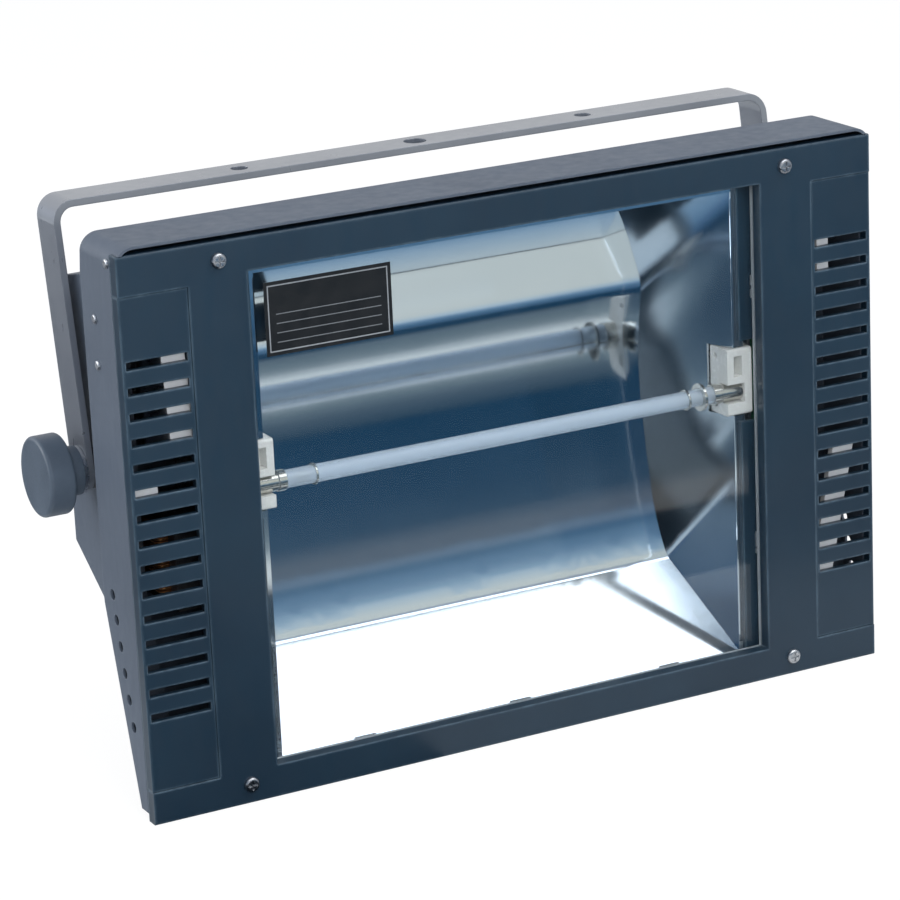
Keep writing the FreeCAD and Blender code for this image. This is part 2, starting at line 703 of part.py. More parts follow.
# right bay: control board and trigger coil
board_in = plate_out + 5.9
board_thick = 1.6
board_out = board_in + board_thick
board_y = (22.0, 67.0)
board_z = (hump_heel_z + 4.5, hump_heel_z + 136.5)
standoff_places = [(y, z) for y in (26.0, 63.0) for z in (board_z[0] + 4, board_z[1] - 4)]
board = box(board_in, board_out, board_y[0], board_y[1], board_z[0], board_z[1])
standoffs = []
for y, z in standoff_places:
    board = board.cut(rod(1.65, board_in - 1, y, z, 5, "x"))
    standoffs.append(joined([rod(2.8, plate_out, y, z, board_in - plate_out, "x"),
                             rod(1.6, board_in - 0.1, y, z, board_thick + 0.2, "x"),
                             rod(2.8, board_out, y, z, 1.6, "x")]))
write("control_board", board)
write("board_standoffs", Part.makeCompound(standoffs))
blocks = [(24, 44, 110, 132, 18), (48, 62, 108, 126, 12), (46, 64, 190, 216, 15), (24, 36, 190, 215, 10),
          (24, 34, 138, 146, 4), (40, 52, 136, 150, 6), (26, 44, 152, 158, 5), (26, 44, 164, 170, 5)]
parts_on_board = [box(board_out, board_out + h, y0, y1, z0, z1) for y0, y1, z0, z1, h in blocks]
drums = [(58, 138, 5, 14), (55, 178, 5, 14), (42, 180, 6, 20), (28, 180, 4, 10)]
parts_on_board += [rod(r, board_out, y, z, h, "x") for y, z, r, h in drums]
sink = [box(board_out, board_out + 16, 38, 64, 218 + i * 2.6, 219.2 + i * 2.6) for i in range(2)]
parts_on_board.append(joined(sink + [box(board_out, board_out + 2, 38, 62, 218, 223)]))
write("board_parts", Part.makeCompound(parts_on_board))
trigger_out = plate_out + 20.9
trigger_z = board_z[1] + 2
trigger = box(plate_out, trigger_out, 26, 50, trigger_z, trigger_z + 19)
trigger = round_edges(trigger, 2.0, lambda e: along(e, "x"))
for y in (31, 38, 45):
    trigger = trigger.fuse(rod(1.0, trigger_out - 0.1, y, trigger_z + 10, 5, "x"))
write("trigger_coil", trigger)

# pivots, yoke, knobs
cheek = hump_half
nut_plate = 3.0
bush_depth = 8.0
bore_r = stud_r + thread_clearance


def pivot_nut():
    inner = cheek - sheet
    plate = box(inner - nut_plate, inner, pivot_y - 20, pivot_y + 20, pivot_z - 20, pivot_z + 20)
    plate = round_edges(plate, 5.0, lambda e: along(e, "x"))
    nut = plate.fuse(rod(boss_r, inner - nut_plate - bush_depth, pivot_y, pivot_z, bush_depth + 0.5, "x"))
    return nut.cut(rod(bore_r, inner - 30, pivot_y, pivot_z, 40, "x")).removeSplitter()


write("pivot_nuts", both_sides(pivot_nut()))


def yoke():
    """Strap bent to a U; its legs lean to the rear as they rise."""
    inner = yoke_half - strap_thick
    outside = profile_y([(-yoke_half, pivot_z - 30), (yoke_half, pivot_z - 30), (yoke_half, yoke_top_z),
                         (-yoke_half, yoke_top_z)], 0, 200)
    outside = round_edges(outside, yoke_bend_r, lambda e: along(e, "y") and e.CenterOfMass.z > yoke_top_z - 1)
    void = profile_y([(-inner, pivot_z - 40), (inner, pivot_z - 40), (inner, yoke_top_z - strap_thick),
                      (-inner, yoke_top_z - strap_thick)], -1, 201)
    void = round_edges(void, yoke_bend_r - strap_thick,
                       lambda e: along(e, "y") and e.CenterOfMass.z > yoke_top_z - strap_thick - 1)
    band = outside.cut(void)
    half = strap_width / 2
    top = yoke_top_z + 5
    rise = (top - pivot_z) * slope
    lean = profile_x([(pivot_y - half, pivot_z), (pivot_y + half, pivot_z), (pivot_y + half + rise, top),
                      (pivot_y - half + rise, top)], -300, 300)
    end_r = half * math.cos(math.radians(yoke_slant))
    foot = rod(end_r, -300, pivot_y, pivot_z, 600, "x")
    strap = band.common(lean.fuse(foot))
    strap = strap.cut(rod(clamp_hole_r, 0, yoke_y, yoke_top_z - 20, 40, "z"))
    for x in (-side_hole_x, side_hole_x):
        strap = strap.cut(rod(side_hole_r, x, yoke_y, yoke_top_z - 20, 40, "z"))
    pivot_hole = stud_r + stud_clearance
    strap = strap.cut(rod(pivot_hole, -300, pivot_y, pivot_z, 600, "x"))
    return strap.removeSplitter()


write("yoke", yoke())

washer_gap = 0.1
spacer = ring(washer_r, stud_r + 0.3, cheek + washer_gap, pivot_y, pivot_z,
              yoke_half - strap_thick - cheek - washer_gap, "x")
write("friction_washers", both_sides(spacer))
knob_start = yoke_half + washer_gap + washer_thick
knob_washer = ring(washer_r + 1.5, stud_r + slack, yoke_half + washer_gap, pivot_y, pivot_z,
                   washer_thick, "x")
write("knob_washer_right", knob_washer)
write("knob_washer_left", mirrored(knob_washer))
stud_in = cheek - sheet - nut_plate - bush_depth + 1.0
stud_end = knob_start + 13.0
stud = rod(stud_r, stud_in, pivot_y, pivot_z, stud_end - stud_in, "x")
stud_rims = [e for e in stud.Edges if len(e.Vertexes) == 1 and e.CenterOfMass.x < stud_in + 1]
stud = stud.makeChamfer(0.8, stud_rims)
write("clamp_stud_right", stud)
write("clamp_stud_left", mirrored(stud))


def knob():
    body = rod(knob_r, knob_start + knob_neck_length, pivot_y, pivot_z, knob_length - knob_neck_length, "x")
    body = round_edges(body, 2.0, lambda e: len(e.Vertexes) == 1)
    body = body.fuse(rod(knob_neck_r, knob_start, pivot_y, pivot_z, knob_neck_length + 1.0, "x"))
    socket = stud_end + 0.5 - knob_start
    return body.cut(rod(stud_r + slack, knob_start - 1, pivot_y, pivot_z, socket + 1, "x"))


knob_right = knob()
write("knob_right", knob_right)
write("knob_left", mirrored(knob_right))

# rear panel and what it carries
fan_x = 0.0
upper_z = 190.0                 # inlet and sockets
lower_z = 148.0                 # fuse, dials and indicator
inlet_x = plate_in - 25.6
inlet_z = upper_z
fuse_x = inlet_x
fuse_z = lower_z
socket_pitch = 40.0
dial_pitch = 20.0
row_start = -(plate_in - 19.6)
socket_places = [(row_start + i * socket_pitch, upper_z + 2) for i in range(2)]
dial_places = [(row_start + i * dial_pitch, lower_z) for i in range(3)]
lamp_place = (74.0, lower_z)
earth_place = (158.0, 142.0)
panel_half = rear_panel_width / 2
screw_in = panel_lap / 2
side_screw_z = (rear_panel_low + 6, (rear_panel_low + rear_panel_high) / 2, rear_panel_high - 6)
panel_screws = [(x, z) for x in (-panel_half + screw_in, panel_half - screw_in) for z in side_screw_z]
panel_screws += [(x, z) for x in (-90.0, 0.0, 90.0)
                 for z in (rear_panel_low + screw_in, rear_panel_high - screw_in)]
fan_corner = fan_hole_pitch / 2
fan_corners = [(x, fan_z + z) for x in (-fan_corner, fan_corner) for z in (-fan_corner, fan_corner)]
m3_r = 1.5
socket_r = 11.0
dial_r = 4.9
panel = box(-panel_half, panel_half, rear_y, panel_back, rear_panel_low, rear_panel_high)
panel = panel.cut(rod(38.0, fan_x, rear_y - 1, fan_z, 5, "y"))
for x, z in fan_corners:
    panel = panel.cut(rod(m4_hole_r, x, rear_y - 1, z, 5, "y"))
for x, z in panel_screws:
    panel = panel.cut(rod(m3_r + 0.2, x, rear_y - 1, z, 5, "y"))
    hump = hump.cut(rod(m3_r + 0.2, x, rear_y - 5, z, 10, "y"))
panel = panel.cut(box(inlet_x - 14, inlet_x + 14, rear_y - 1, panel_back + 1, inlet_z - 10.4, inlet_z + 10.4))
panel = panel.cut(rod(6.7, fuse_x, rear_y - 1, fuse_z, 5, "y"))
for x, z in socket_places:
    panel = panel.cut(rod(socket_r + 0.2, x, rear_y - 1, z, 5, "y"))
for x, z in dial_places:
    panel = panel.cut(rod(dial_r + 0.8, x, rear_y - 1, z, 5, "y"))
panel = panel.cut(rod(2.7, lamp_place[0], rear_y - 1, lamp_place[1], 5, "y"))
panel = panel.cut(rod(2.7, earth_place[0], rear_y - 1, earth_place[1], 5, "y"))
write("rear_panel", panel)
panel_fixings = [pan_screw(2.8, m3_r, x, panel_back, z, 6, 1) for x, z in panel_screws]
write("rear_panel_screws", Part.makeCompound(panel_fixings))

fan_back = rear_y
fan_front = rear_y - fan_thick
duct_r = rotor_r + rotor_clearance
stator_r = 14.0
axle_r = 1.5
hub_gap = 0.6


def fan_frame():
    frame = box(-fan_size / 2, fan_size / 2, fan_front, fan_back, fan_z - fan_size / 2, fan_z + fan_size / 2)
    frame = round_edges(frame, 4.0, lambda e: along(e, "y"))
    frame = frame.cut(rod(duct_r, 0, fan_front - 1, fan_z, fan_thick + 2, "y"))
    waist = ring(80, 42.5, 0, fan_front + 4, fan_z, fan_thick - 8, "y")
    keep = [rod(5.0, x, fan_front, z, fan_thick, "y") for x, z in fan_corners]
    for post in keep:
        waist = waist.cut(post)
    frame = frame.cut(waist)
    frame = frame.fuse(rod(stator_r, 0, fan_front, fan_z, 3.0, "y"))
    for turn in (45, 135, 225, 315):
        strut = box(stator_r - 1, duct_r + 0.6, fan_front, fan_front + 2.4, fan_z - 2, fan_z + 2)
        strut.rotate(Vector(0, 0, fan_z), Vector(0, 1, 0), turn)
        frame = frame.fuse(strut)
    frame = frame.fuse(rod(5.0, 0, fan_front + 2, fan_z, 7.0, "y"))
    frame = frame.cut(rod(axle_r + 0.05, 0, fan_front + 0.8, fan_z, 20, "y"))
    for x, z in fan_corners:
        frame = frame.cut(rod(m4_hole_r - 0.2, x, fan_front - 1, z, fan_thick + 2, "y"))
    return frame.removeSplitter()


def fan_rotor():
    front = fan_front + 3.0 + hub_gap
    back = fan_back - 1.2
    cup = rod(fan_hub_r, 0, front, fan_z, back - front, "y")
    cup = cup.cut(rod(fan_hub_r - 1.8, 0, front - 1, fan_z, back - front - 0.8, "y"))
    cup = cup.fuse(rod(axle_r, 0, fan_front + 1.2, fan_z, back - fan_front - 2.0, "y"))
    for i in range(7):
        reach = rotor_r - fan_hub_r + 1.5
        root = profile_y([(0, 0), (1.6, 0), (1.6, reach), (0, reach)], -11, 11)
        root.rotate(Vector(0.8, 0, 0), Vector(0, 0, 1), 52)
        root.translate(Vector(-0.8, (front + back) / 2, fan_z + fan_hub_r - 0.8))
        root.rotate(Vector(0, 0, fan_z), Vector(0, 1, 0), 360 / 7 * i)
        cup = cup.fuse(root)
    ends = ring(rotor_r, fan_hub_r - 1.5, 0, front, fan_z, back - front, "y")
    hub = rod(fan_hub_r, 0, fan_front, fan_z, fan_thick, "y")
    return cup.common(ends.fuse(hub)).removeSplitter()


write("fan_frame", fan_frame())
write("fan_rotor", fan_rotor())

guard_wire = 1.8
guard_y = panel_back + slack
guard_radii = (10.0, 19.0, 28.0, 37.0)
guard = [ring(radius + guard_wire / 2, radius - guard_wire / 2, 0, guard_y, fan_z, guard_wire, "y")
         for radius in guard_radii]
arm = math.hypot(fan_corner, fan_corner)
for turn in (45, 135, 225, 315):
    spoke = box(guard_radii[0], arm - 3.0, guard_y, guard_y + guard_wire,
                fan_z - guard_wire / 2, fan_z + guard_wire / 2)
    spoke.rotate(Vector(0, 0, fan_z), Vector(0, 1, 0), turn)
    guard.append(spoke)
for x, z in fan_corners:
    guard.append(ring(4.6, m4_hole_r, x, guard_y, z, guard_wire, "y"))
write("fan_guard", joined(guard))
fan_screws = [pan_screw(m4_head_r, screw_r, x, guard_y + guard_wire + slack, z, 16, 1)
              for x, z in fan_corners]
write("fan_screws", Part.makeCompound(fan_screws))

inlet = box(inlet_x - 16, inlet_x + 16, panel_back, panel_back + 2.5, inlet_z - 14, inlet_z + 14)
inlet = round_edges(inlet, 2.5, lambda e: along(e, "y"))
inlet = inlet.fuse(box(inlet_x - 13.7, inlet_x + 13.7, rear_y - 20, panel_back + 0.1,
                       inlet_z - 10.2, inlet_z + 10.2))
inlet = inlet.cut(box(inlet_x - 12, inlet_x + 12, rear_y - 15, 200, inlet_z - 8, inlet_z + 8))
pins = []
for x, z in ((-7, -1.5), (0, 2.5), (7, -1.5)):
    blade = box(inlet_x + x - 1, inlet_x + x + 1, rear_y - 24, panel_back - 1,
                inlet_z + z - 2, inlet_z + z + 2)
    inlet = inlet.cut(box(inlet_x + x - 1.05, inlet_x + x + 1.05, rear_y - 25, panel_back,
                          inlet_z + z - 2.05, inlet_z + z + 2.05))
    pins.append(blade)
write("power_inlet", inlet.removeSplitter())
write("inlet_pins", Part.makeCompound(pins))

fuse_bore = 4.2
fuse_stem = fuse_bore - 0.08
holder_body = rod(6.5, fuse_x, rear_y - 18, fuse_z, 18 + sheet + 0.1, "y")
holder_body = holder_body.fuse(rod(8.5, fuse_x, panel_back, fuse_z, 1.8, "y"))
write("fuse_holder", holder_body.cut(rod(fuse_bore, fuse_x, rear_y - 14, fuse_z, 40, "y")))
cap_y = panel_back + 1.8 + washer_gap
fuse_cap = rod(7.2, fuse_x, cap_y, fuse_z, 7.0, "y")
fuse_cap = round_edges(fuse_cap, 1.0, lambda e: len(e.Vertexes) == 1 and e.CenterOfMass.y > cap_y + 1)
fuse_cap = fuse_cap.cut(box(fuse_x - 5, fuse_x + 5, cap_y + 5.4, cap_y + 8, fuse_z - 0.6, fuse_z + 0.6))
fuse_cap = fuse_cap.fuse(rod(fuse_stem, fuse_x, rear_y - 12, fuse_z, cap_y - rear_y + 12.1, "y"))
write("fuse_cap", fuse_cap)

sockets = []
for x, z in socket_places:
    plate = box(x - 13, x + 13, panel_back, panel_back + 2, z - 15.5, z + 15.5)
    plate = round_edges(plate, 2.0, lambda e: along(e, "y"))
    shell = plate.fuse(rod(socket_r, x, rear_y - 17, z, 17 + sheet + 0.1, "y"))
    shell = shell.cut(rod(9.2, x, rear_y - 12, z, 40, "y"))
    for i in range(5):
        a = math.radians(-30 + 60 * i)
        shell = shell.fuse(rod(0.9, x + 5.2 * math.cos(a), rear_y - 12.1, z + 5.2 * math.sin(a), 11, "y"))
    for sx, sz in ((-9.5, 12), (9.5, -12)):
        shell = shell.fuse(Part.makeSphere(2.2, Vector(x + sx, panel_back + 1.6, z + sz)).common(
            box(x + sx - 3, x + sx + 3, panel_back + 1.9, panel_back + 5, z + sz - 3, z + sz + 3)))
    sockets.append(shell)
write("signal_sockets", Part.makeCompound(sockets))

cases = []
for i, (x, z) in enumerate(dial_places):
    case = box(x - 8, x + 8, rear_y - 10, rear_y, z - 8, z + 8)
    cases.append(case.cut(rod(dial_r + 0.08, x, rear_y - 6, z, 10, "y")))
    dial = rod(dial_r, x, rear_y - 5.8, z, 7.6, "y")
    dial = dial.cut(box(x - 3.6, x + 3.6, rear_y + 0.6, rear_y + 3, z - 0.6, z + 0.6))
    write("address_dial_" + str(i + 1), dial)
write("address_switches", Part.makeCompound(cases))

light = rod(2.6, lamp_place[0], rear_y - 8, lamp_place[1], 8 + sheet, "y")
light = light.fuse(rod(4.0, lamp_place[0], panel_back, lamp_place[1], 1.2, "y"))
light = light.fuse(Part.makeSphere(2.6, Vector(lamp_place[0], panel_back + 1.2, lamp_place[1])).common(
    box(lamp_place[0] - 4, lamp_place[0] + 4, panel_back, panel_back + 6,
        lamp_place[1] - 4, lamp_place[1] + 4)))
write("indicator_lamp", light.removeSplitter())
ex, ez = earth_place
earth = rod(2.5, ex, rear_y - 6, ez, 19, "y")
for y, r, h in ((panel_back, 6.0, 1.0), (rear_y - 4, 5.0, 4.0)):
    earth = earth.fuse(rod(r, ex, y, ez, h, "y"))
corners = [(ex + 5 * math.cos(math.radians(60 * i)), ez + 5 * math.sin(math.radians(60 * i)))
           for i in range(6)]
write("earth_stud", earth.fuse(profile_y(corners, panel_back + 1, panel_back + 5)).removeSplitter())

# feet, safety eye, housing rivets
foot_z = 57.0
foot_dir = Vector(0, hump_heel_z - hump_bottom, -(hump_heel_depth - hump_foot_depth))
foot_dir.normalize()
feet = []
for x in (-hump_half + 11.5, hump_half - 11.5):
    share = (foot_z - hump_bottom) / (hump_heel_z - hump_bottom)
    base = Vector(x, hump_foot_depth + share * (hump_heel_depth - hump_foot_depth), foot_z)
    foot = Part.makeCone(8.0, 6.8, 6.5, base, foot_dir)
    recess = Part.makeCylinder(3.0, 4, base + foot_dir * 4, foot_dir)
    feet.append(foot.cut(recess))
write("rubber_feet", Part.makeCompound(feet))

eye_x = -150.0
eye_y = 84.0
roof_drop = hump_roof_drop / (hump_bevel_y - tray_depth)
roof_z = hump_top_z - (eye_y - tray_depth) * roof_drop
eye = rod(7.5, eye_x, eye_y, roof_z - 3, 6.5, "z")
eye = eye.cut(profile_x([(eye_y - 20, roof_z + 20 * roof_drop), (eye_y + 20, roof_z - 20 * roof_drop),
                         (eye_y + 20, roof_z - 40), (eye_y - 20, roof_z - 40)], eye_x - 20, eye_x + 20))
eye = eye.fuse(rod(3.0, eye_x, eye_y, roof_z - 8, 10, "z"))
eye = eye.fuse(Part.makeTorus(7.0, 2.2, Vector(eye_x, eye_y, roof_z + 10.5), Vector(0, 1, 0)))
eye = eye.fuse(rod(5.5, eye_x, eye_y, roof_z - 8, 4.2, "z"))
write("safety_eye", eye.removeSplitter())
hump = hump.cut(rod(3.1, eye_x, eye_y, roof_z - 5, 10, "z"))

rivet_spots = [(x, hump_top_z - 5) for x in (-150.0, -50.0, 50.0, 150.0)]
rivet_spots += [(x, z) for x in (-hump_half + 5, hump_half - 5) for z in (130.0, 205.0)]
fixings = []
for x, z in rivet_spots:
    hole = rod(1.7, x, tray_depth - 6, z, 20, "y")
    hole = hole.common(box(-half_cover, half_cover, 0, tray_depth + 5, 0, tray_top))
    tray = tray.cut(hole)
    hump = hump.cut(hole)
    inside = tray_depth - sheet
    fixings.append(joined([rod(3.2, x, inside - 1.2, z, 1.2, "y"), rod(1.6, x, inside - 0.1, z, 6.0, "y"),
                           rod(2.6, x, tray_depth + gap + sheet, z, 1.6, "y")]))
for y, z in rivet_places:
    fixings += [side_rivet(y, z), mirrored(side_rivet(y, z))]
write("housing_rivets", Part.makeCompound(fixings))
write("tray_shell", tray)
write("rear_housing", hump)
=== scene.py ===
import json
import math
import bpy
from mathutils import Matrix, Vector


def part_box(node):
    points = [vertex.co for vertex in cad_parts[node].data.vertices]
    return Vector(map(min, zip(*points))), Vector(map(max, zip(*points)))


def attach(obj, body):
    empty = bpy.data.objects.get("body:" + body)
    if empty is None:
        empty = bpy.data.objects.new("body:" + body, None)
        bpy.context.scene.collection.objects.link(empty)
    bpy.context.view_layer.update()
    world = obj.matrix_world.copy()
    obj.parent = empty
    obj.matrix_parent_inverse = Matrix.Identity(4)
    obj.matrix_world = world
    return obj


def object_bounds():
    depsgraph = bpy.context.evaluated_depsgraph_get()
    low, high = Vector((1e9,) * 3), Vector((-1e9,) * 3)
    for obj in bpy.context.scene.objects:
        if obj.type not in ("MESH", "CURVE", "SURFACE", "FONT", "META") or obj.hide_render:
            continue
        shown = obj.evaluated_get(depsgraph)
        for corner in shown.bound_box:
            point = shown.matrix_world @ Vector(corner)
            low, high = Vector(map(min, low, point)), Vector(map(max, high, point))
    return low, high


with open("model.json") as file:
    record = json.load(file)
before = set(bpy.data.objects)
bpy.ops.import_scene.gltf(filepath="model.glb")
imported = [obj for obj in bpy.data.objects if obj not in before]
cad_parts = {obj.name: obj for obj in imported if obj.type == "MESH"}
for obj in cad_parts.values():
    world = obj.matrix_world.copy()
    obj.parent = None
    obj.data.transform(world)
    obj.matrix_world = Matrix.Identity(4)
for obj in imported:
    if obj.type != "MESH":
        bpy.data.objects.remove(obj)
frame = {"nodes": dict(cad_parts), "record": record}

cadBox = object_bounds()
nodes = frame["nodes"]


# small helpers

plain = {"bend": 1.5, "shine": 0.5, "coatRough": 0.1, "edgeSamples": 4}  # where a finish says nothing else


def pickNothing():
    bpy.ops.object.select_all(action="DESELECT")
    bpy.context.view_layer.objects.active = None


def addNode(tree, kind, x=0, y=0):
    node = tree.nodes.new(kind)
    node.location = (x, y)
    return node


def startMaterial(name, finish):
    # constant numbers go straight onto the shader's own sockets
    material = bpy.data.materials.new(name)
    material.use_nodes = True
    tree = material.node_tree
    shader = tree.nodes["Principled BSDF"]
    shader.inputs["Base Color"].default_value = (*finish["light"], 1)
    shader.inputs["Metallic"].default_value = finish.get("metal", 0)
    shader.inputs["Roughness"].default_value = finish["rough"][0]
    shader.inputs["IOR"].default_value = finish.get("bend", plain["bend"])
    shader.inputs["Specular IOR Level"].default_value = finish.get("shine", plain["shine"])
    shader.inputs["Coat Weight"].default_value = finish.get("coat", 0)
    shader.inputs["Coat Roughness"].default_value = plain["coatRough"]
    return material, tree, shader


def surfaceNoise(tree, scale, detail=3, stretch=(1, 1, 1), y=0):
    # noise in metres on the object's own coordinates
    place = addNode(tree, "ShaderNodeTexCoord", -1300, y)
    fit = addNode(tree, "ShaderNodeMapping", -1100, y)
    fit.inputs["Scale"].default_value = stretch
    noise = addNode(tree, "ShaderNodeTexNoise", -900, y)
    noise.inputs["Scale"].default_value = scale
    noise.inputs["Detail"].default_value = detail
    tree.links.new(place.outputs["Object"], fit.inputs["Vector"])
    tree.links.new(fit.outputs["Vector"], noise.inputs["Vector"])
    return noise.outputs["Fac"]


def ramped(tree, value, stops, x=-650, y=0):
    # stops: (place from 0 to 1, colour)
    ramp = addNode(tree, "ShaderNodeValToRGB", x, y)
    ramp.color_ramp.elements[0].position = stops[0][0]
    ramp.color_ramp.elements[0].color = (*stops[0][1], 1)
    ramp.color_ramp.elements[1].position = stops[-1][0]
    ramp.color_ramp.elements[1].color = (*stops[-1][1], 1)
    for place, colour in stops[1:-1]:
        step = ramp.color_ramp.elements.new(place)
        step.color = (*colour, 1)
    tree.links.new(value, ramp.inputs["Fac"])
    return ramp.outputs["Color"]


def ranged(tree, value, low, high, fromLow=0.3, fromHigh=0.7, x=-650, y=-250):
    spread = addNode(tree, "ShaderNodeMapRange", x, y)
    spread.inputs["From Min"].default_value = fromLow
    spread.inputs["From Max"].default_value = fromHigh
    spread.inputs["To Min"].default_value = low
    spread.inputs["To Max"].default_value = high
    tree.links.new(value, spread.inputs["Value"])
    return spread.outputs["Result"]


def blended(tree, share, first, second, x=-350, y=150):
    mix = addNode(tree, "ShaderNodeMix", x, y)
    mix.data_type = "RGBA"
    tree.links.new(share, mix.inputs["Factor"])
    for socket, colour in ((mix.inputs[6], first), (mix.inputs[7], second)):
        if isinstance(colour, tuple):
            socket.default_value = (*colour, 1)
        else:
            tree.links.new(colour, socket)
    return mix.outputs[2]


def roundedNormal(tree, radius, x, y):
    rounded = addNode(tree, "ShaderNodeBevel", x, y)
    rounded.samples = plain["edgeSamples"]
    rounded.inputs["Radius"].default_value = radius
    return rounded.outputs["Normal"]


def edgeMask(tree, radius, low, high, y=500):
    # 1 on sharp edges, 0 on flat sheet; low and high are how far the rounded normal leans
    rounded = roundedNormal(tree, radius, -1300, y)
    flat = addNode(tree, "ShaderNodeNewGeometry", -1300, y - 200)
    dot = addNode(tree, "ShaderNodeVectorMath", -1100, y)
    dot.operation = "DOT_PRODUCT"
    tree.links.new(rounded, dot.inputs[0])
    tree.links.new(flat.outputs["Normal"], dot.inputs[1])
    return ranged(tree, dot.outputs["Value"], 1, 0, 1 - high, 1 - low, -900, y)


def raised(tree, shader, height, strength, distance, edge=0):
    # bump from height, over edges that look rounded by edge metres
    bump = addNode(tree, "ShaderNodeBump", -250, -500)
    bump.inputs["Strength"].default_value = strength
    bump.inputs["Distance"].default_value = distance
    tree.links.new(height, bump.inputs["Height"])
    if edge:
        tree.links.new(roundedNormal(tree, edge, -450, -700), bump.inputs["Normal"])
    tree.links.new(bump.outputs["Normal"], shader.inputs["Normal"])


# painted sheet

paintFinishes = {
    "yoke_paint": {"light": (0.3, 0.32, 0.36), "dark": (0.23, 0.25, 0.29), "bareAndHighlight": (0.6, 0.61, 0.63),
                   "metal": 0.5, "rough": (0.27, 0.33), "coat": 0.4, "grain": 900, "bump": 0.1,
                   "wearAndHighlight": (0.0, 0.15), "edge": 0.0007, "turn": 0.25},
    # the cover's pale edges are mostly a painted highlight; on the yoke and housing they are worn paint
    "cover_paint": {"light": (0.0155, 0.04, 0.067), "dark": (0.012, 0.031, 0.054), "bareAndHighlight": (0.14, 0.22, 0.29),
                    "metal": 0, "rough": (0.3, 0.42), "coat": 0.1, "grain": 1100, "bump": 0.16,
                    "wearAndHighlight": (0.3, 0.75), "edge": 0.0012, "turn": 0.12},
    "housing_paint": {"light": (0.105, 0.13, 0.17), "dark": (0.085, 0.107, 0.144), "bareAndHighlight": (0.34, 0.37, 0.42),
                      "metal": 0, "rough": (0.42, 0.55), "shine": 0.4, "grain": 1100, "bump": 0.16,
                      "wearAndHighlight": (0.12, 0.4), "edge": 0.0007, "turn": 0.25},
}
paintPattern = {
    "cloud": 14,               # slow change from dark to light
    "scuff": 160,
    "scuffStretch": (1, 1, 0.35),
    "scuffBand": (0.4, 0.62),  # noise between these goes from least to most edge wear and painted highlight
    "rubAndHighlightWidth": 1.6,           # width of the worn edge and painted edge highlight, against the rounded edge
    "rubAndHighlightFrom": 0.01,
    "peelDepth": 0.0002,
}


def paintedSheet(name, finish):
    # powder coat with orange peel, pale along its edges: worn paint, and on the cover mostly a painted highlight
    # along the edges
    material, tree, shader = startMaterial(name, finish)
    cloud = surfaceNoise(tree, paintPattern["cloud"], 4)
    colour = ramped(tree, cloud, [(0.3, finish["dark"]), (0.7, finish["light"])])
    scuffs = surfaceNoise(tree, paintPattern["scuff"], 5, paintPattern["scuffStretch"], 300)
    edges = edgeMask(tree, finish["edge"] * paintPattern["rubAndHighlightWidth"], paintPattern["rubAndHighlightFrom"], finish["turn"])
    # edges times scuffs: worn paint, and on the cover a painted highlight along the edges
    wornAndHighlight = addNode(tree, "ShaderNodeMath", -650, 400)
    wornAndHighlight.operation = "MULTIPLY"
    tree.links.new(edges, wornAndHighlight.inputs[0])
    wearAndHighlight = ranged(tree, scuffs, *finish["wearAndHighlight"], *paintPattern["scuffBand"], -850, 300)
    tree.links.new(wearAndHighlight, wornAndHighlight.inputs[1])
    tree.links.new(blended(tree, wornAndHighlight.outputs[0], colour, finish["bareAndHighlight"]), shader.inputs["Base Color"])
    tree.links.new(ranged(tree, scuffs, *finish["rough"]), shader.inputs["Roughness"])
    peel = surfaceNoise(tree, finish["grain"], 2, y=-500)
    raised(tree, shader, peel, finish["bump"], paintPattern["peelDepth"], finish["edge"])
    return material


# metals

metalFinishes = {
    "zinc_steel": {"light": (0.66, 0.67, 0.69), "dark": (0.46, 0.47, 0.5), "rough": (0.22, 0.42), "metal": 1,
                   "scale": 500, "stretch": (1, 1, 1), "bump": 0.08, "edge": 0.0003},
    "nickel": {"light": (0.74, 0.72, 0.67), "dark": (0.6, 0.58, 0.54), "rough": (0.12, 0.25), "metal": 1,
               "scale": 400, "stretch": (1, 1, 1), "bump": 0.05, "edge": 0.0003},
    "chrome_wire": {"light": (0.8, 0.81, 0.83), "dark": (0.66, 0.67, 0.7), "rough": (0.08, 0.2), "metal": 1,
                    "scale": 300, "stretch": (1, 1, 1), "bump": 0.04, "edge": 0.0003},
    "aluminium": {"light": (0.7, 0.72, 0.75), "dark": (0.56, 0.58, 0.62), "rough": (0.26, 0.42), "metal": 1,
                  "scale": 260, "stretch": (0.08, 1, 1), "bump": 0.1, "edge": 0.0003},
    "can_aluminium": {"light": (0.62, 0.65, 0.7), "dark": (0.48, 0.5, 0.55), "rough": (0.25, 0.4), "metal": 1,
                      "scale": 300, "stretch": (1, 0.06, 1), "bump": 0.08, "edge": 0.0004},
    "core_steel": {"light": (0.24, 0.24, 0.25), "dark": (0.13, 0.13, 0.14), "rough": (0.4, 0.6), "metal": 0.9,
                   "scale": 900, "stretch": (1, 0.04, 0.04), "bump": 0.35, "edge": 0.0004},
    "brass": {"light": (0.78, 0.58, 0.27), "dark": (0.6, 0.42, 0.18), "rough": (0.18, 0.34), "metal": 1,
              "scale": 300, "stretch": (1, 1, 1), "bump": 0.06, "edge": 0.0003},
}


metalPattern = {"stain": 40, "grainDepth": 0.0001}


def machinedMetal(name, finish):
    # fine grain, drawn out along the piece where it was rolled or brushed, with faint stains
    material, tree, shader = startMaterial(name, finish)
    grain = surfaceNoise(tree, finish["scale"], 4, finish["stretch"])
    stain = surfaceNoise(tree, metalPattern["stain"], 3, y=300)
    dull = ramped(tree, stain, [(0.35, finish["dark"]), (0.65, finish["light"])])
    tree.links.new(dull, shader.inputs["Base Color"])
    tree.links.new(ranged(tree, grain, *finish["rough"]), shader.inputs["Roughness"])
    raised(tree, shader, grain, finish["bump"], metalPattern["grainDepth"], finish["edge"])
    return material


